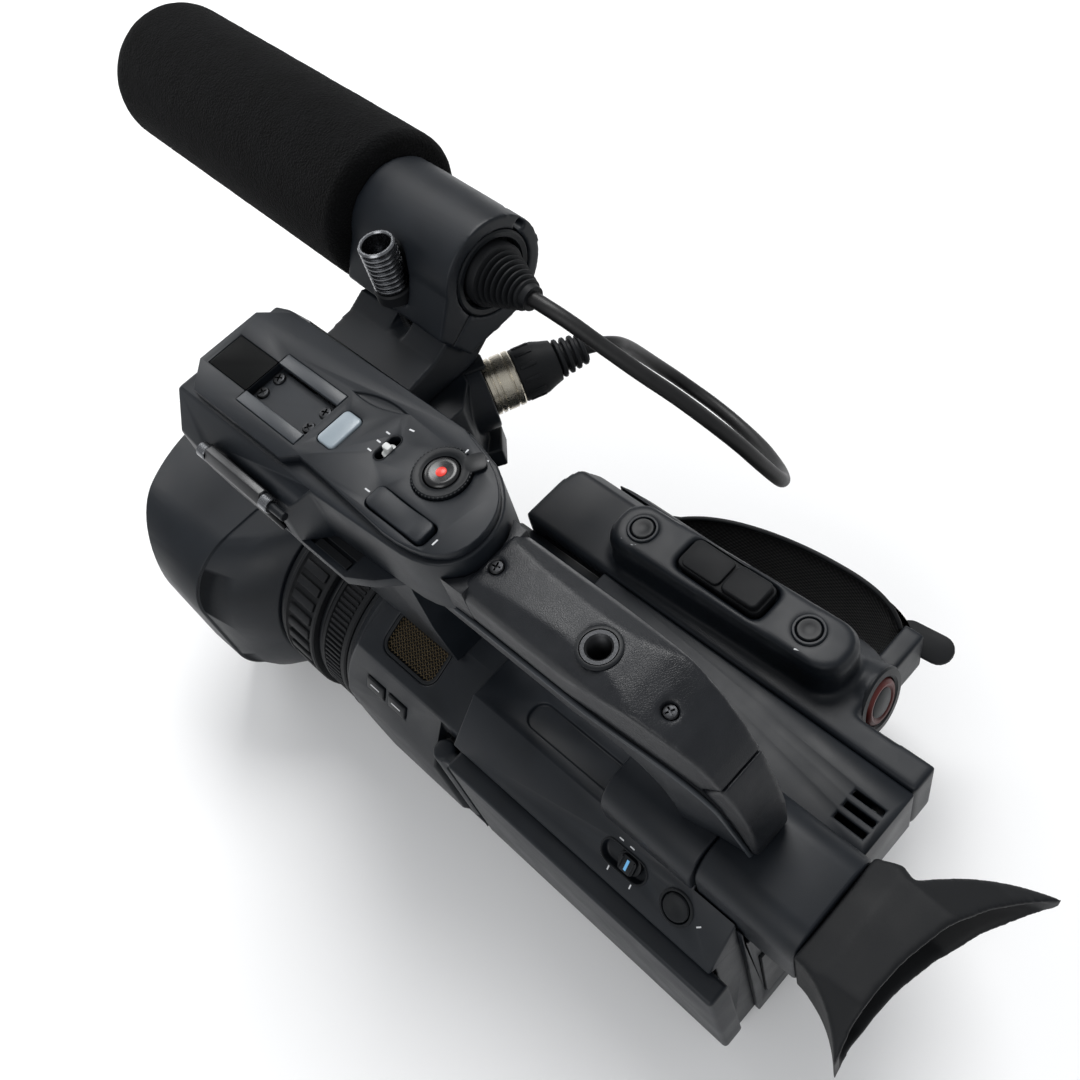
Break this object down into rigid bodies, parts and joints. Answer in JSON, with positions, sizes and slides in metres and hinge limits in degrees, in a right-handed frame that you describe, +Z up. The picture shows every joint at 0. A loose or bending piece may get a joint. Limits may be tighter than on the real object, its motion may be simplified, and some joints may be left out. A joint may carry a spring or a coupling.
{
  "type": "handheld camcorder",
  "caption": "Hand-held professional camcorder with top handle, shotgun microphone in foam, folded side screen, large eyecup, wide lens hood and side hand strap.",
  "frame": {"origin": "mouth of the threaded tripod socket, in the plane of the base", "axes": "+Z up out of the base, -Y along the lens towards the scene, +X the operator's left; +Y points to the eyecup"},
  "size_m": [0.1721, 0.3861, 0.2136],
  "materials": {
    "body_charcoal": "satin moulded plastic, charcoal with a slight blue cast",
    "body_dark": "darker satin plastic",
    "lip_grey": "grey satin",
    "handle_skin": "grained, leather-like skin",
    "rubber_black": "matte rubber",
    "foam_black": "open-cell foam",
    "cable_black": "matte cable jacket",
    "strap_fabric": "woven webbing and padded cloth",
    "gloss_black": "gloss",
    "clear_lamp": "milky lamp cover",
    "clear_cover": "smoked gloss cover",
    "switch_white": "white knob",
    "trigger_red": "red-brown gloss",
    "chrome_knob": "polished and knurled",
    "nickel": "satin nickel",
    "metal_insert": "machined",
    "mesh_metal": "woven bronze-tinted mesh",
    "lens_glass": "coated optical glass",
    "screen_glass": "display glass",
    "circuit_board": "solder mask"
  },
  "bodies": {
    "camera_body": {"base_plate": "body_dark", "tripod_insert": "metal_insert", "left_case": "body_charcoal", "right_case": "body_charcoal", "front_housing": "body_charcoal", "rear_panel": "body_charcoal", "main_board": "circuit_board", "sensor_block": "metal_insert", "lens_barrel": "body_dark", "front_lens": "lens_glass", "lens_hood": "body_charcoal", "side_mic_mesh": "mesh_metal", "grip_case": "body_charcoal", "strap_pad": "strap_fabric", "strap_webbing": "strap_fabric", "handle_lower": "lip_grey", "handle_grip": "handle_skin", "handle_end_cap": "handle_skin", "handle_insert": "metal_insert", "top_screws": "metal_insert", "head_case": "body_charcoal", "head_plate": "body_charcoal", "accessory_shoe": "lip_grey", "remote_window": "gloss_black", "tally_lamp": "clear_lamp", "hinge_rod": "metal_insert", "xlr_housing": "body_charcoal", "mic_bracket": "body_charcoal", "microphone": "body_dark", "mic_foam": "foam_black", "mic_boot": "rubber_black", "mic_cable": "cable_black", "xlr_plug_shell": "nickel", "xlr_plug_sleeve": "rubber_black", "vf_housing": "body_charcoal"},
    "focus_ring": {"focus_ring": "rubber_black"},
    "zoom_ring": {"zoom_ring": "rubber_black"},
    "side_button_front": {"side_button_front": "body_dark"},
    "side_button_rear": {"side_button_rear": "body_dark"},
    "grip_rocker": {"grip_rocker": "rubber_black"},
    "focus_button": {"focus_button": "body_dark"},
    "rec_small_button": {"rec_small_button": "body_dark"},
    "rec_trigger": {"rec_trigger": "trigger_red"},
    "screen": {"lcd_panel": "body_charcoal", "lcd_screen": "screen_glass"},
    "viewfinder": {"vf_tube": "body_charcoal", "eyecup": "rubber_black", "eyepiece_lens": "lens_glass"},
    "zoom_rocker": {"zoom_rocker": "gloss_black"},
    "handle_rec_button": {"handle_rec_button": "gloss_black"},
    "hold_ring": {"hold_ring": "body_dark"},
    "speed_switch": {"speed_switch": "switch_white"},
    "level_dial_front": {"level_dial_front": "rubber_black"},
    "level_dial_rear": {"level_dial_rear": "rubber_black"},
    "audio_cover": {"audio_cover": "clear_cover"},
    "mic_clamp": {"mic_clamp": "body_charcoal"},
    "clamp_knob": {"clamp_knob": "chrome_knob"},
    "power_switch": {"power_switch": "body_dark"},
    "mode_button": {"mode_button": "body_dark"},
    "battery": {"battery": "body_dark"}
  },
  "joints": [
    {"name": "focus_turn", "type": "hinge", "parent": "camera_body", "child": "focus_ring", "pos_m": [0, -0.063, 0.054], "axis": [0, 1, 0], "continuous": true},
    {"name": "zoom_turn", "type": "hinge", "parent": "camera_body", "child": "zoom_ring", "pos_m": [0, -0.045, 0.054], "axis": [0, 1, 0], "range_deg": [-50, 50]},
    {"name": "side_button_front_press", "type": "slide", "parent": "camera_body", "child": "side_button_front", "axis": [-0.8934, 0, -0.4493], "range_m": [0, 0.0006], "stiffness_N_per_m": 900},
    {"name": "side_button_rear_press", "type": "slide", "parent": "camera_body", "child": "side_button_rear", "axis": [-0.8934, 0, -0.4493], "range_m": [0, 0.0006], "stiffness_N_per_m": 900},
    {"name": "grip_rocker_tilt", "type": "hinge", "parent": "camera_body", "child": "grip_rocker", "pos_m": [-0.0582, 0.061, 0.108], "axis": [1, 0, 0], "range_deg": [-4, 4], "stiffness_Nm_per_rad": 0.3},
    {"name": "focus_button_press", "type": "slide", "parent": "camera_body", "child": "focus_button", "axis": [0, 0, -1], "range_m": [0, 0.0006], "stiffness_N_per_m": 900},
    {"name": "rec_small_button_press", "type": "slide", "parent": "camera_body", "child": "rec_small_button", "axis": [0, 0, -1], "range_m": [0, 0.0006], "stiffness_N_per_m": 900},
    {"name": "trigger_press", "type": "slide", "parent": "camera_body", "child": "rec_trigger", "axis": [0.1022, -0.9728, -0.2079], "range_m": [0, 0.0012], "stiffness_N_per_m": 900},
    {"name": "screen_open", "type": "hinge", "parent": "camera_body", "child": "screen", "pos_m": [0.033, 0.018, 0.055], "axis": [0, 0, -1], "range_deg": [0, 90]},
    {"name": "viewfinder_pull", "type": "slide", "parent": "camera_body", "child": "viewfinder", "axis": [0, 1, 0], "range_m": [0, 0.02]},
    {"name": "zoom_rocker_tilt", "type": "hinge", "parent": "camera_body", "child": "zoom_rocker", "pos_m": [0.0069, 0.0127, 0.177], "axis": [1, 0, 0], "range_deg": [-4, 4], "stiffness_Nm_per_rad": 0.3},
    {"name": "handle_rec_press", "type": "slide", "parent": "camera_body", "child": "handle_rec_button", "axis": [0, 0, -1], "range_m": [0, 0.0008], "stiffness_N_per_m": 900},
    {"name": "hold_turn", "type": "hinge", "parent": "camera_body", "child": "hold_ring", "pos_m": [-0.009, 0.012, 0.1785], "axis": [0, 0, 1], "range_deg": [0, 40]},
    {"name": "speed_slide", "type": "slide", "parent": "camera_body", "child": "speed_switch", "axis": [1, 0, 0], "range_m": [-0.0022, 0.0022]},
    {"name": "level_front_turn", "type": "hinge", "parent": "camera_body", "child": "level_dial_front", "pos_m": [0.02, -0.051, 0.1605], "axis": [1, 0, 0], "range_deg": [-135, 135]},
    {"name": "level_rear_turn", "type": "hinge", "parent": "camera_body", "child": "level_dial_rear", "pos_m": [0.02, -0.038, 0.1605], "axis": [1, 0, 0], "range_deg": [-135, 135]},
    {"name": "audio_cover_flip", "type": "hinge", "parent": "camera_body", "child": "audio_cover", "pos_m": [0.0252, -0.044, 0.1695], "axis": [0, -1, 0], "range_deg": [0, 100]},
    {"name": "mic_clamp_open", "type": "hinge", "parent": "camera_body", "child": "mic_clamp", "pos_m": [-0.07761, -0.04137, 0.19489], "axis": [-0.0349, -0.9992, 0.0175], "range_deg": [0, 70]},
    {"name": "clamp_knob_turn", "type": "hinge", "parent": "mic_clamp", "child": "clamp_knob", "pos_m": [-0.0445, -0.045, 0.186], "axis": [0, 0, 1], "continuous": true},
    {"name": "power_slide", "type": "slide", "parent": "camera_body", "child": "power_switch", "axis": [0, 1, 0], "range_m": [-0.003, 0]},
    {"name": "mode_press", "type": "slide", "parent": "camera_body", "child": "mode_button", "axis": [-0.7071, 0, -0.7071], "range_m": [0, 0.0006], "stiffness_N_per_m": 900},
    {"name": "battery_pull", "type": "slide", "parent": "camera_body", "child": "battery", "axis": [0, 1, 0], "range_m": [0, 0.06]}
  ]
}
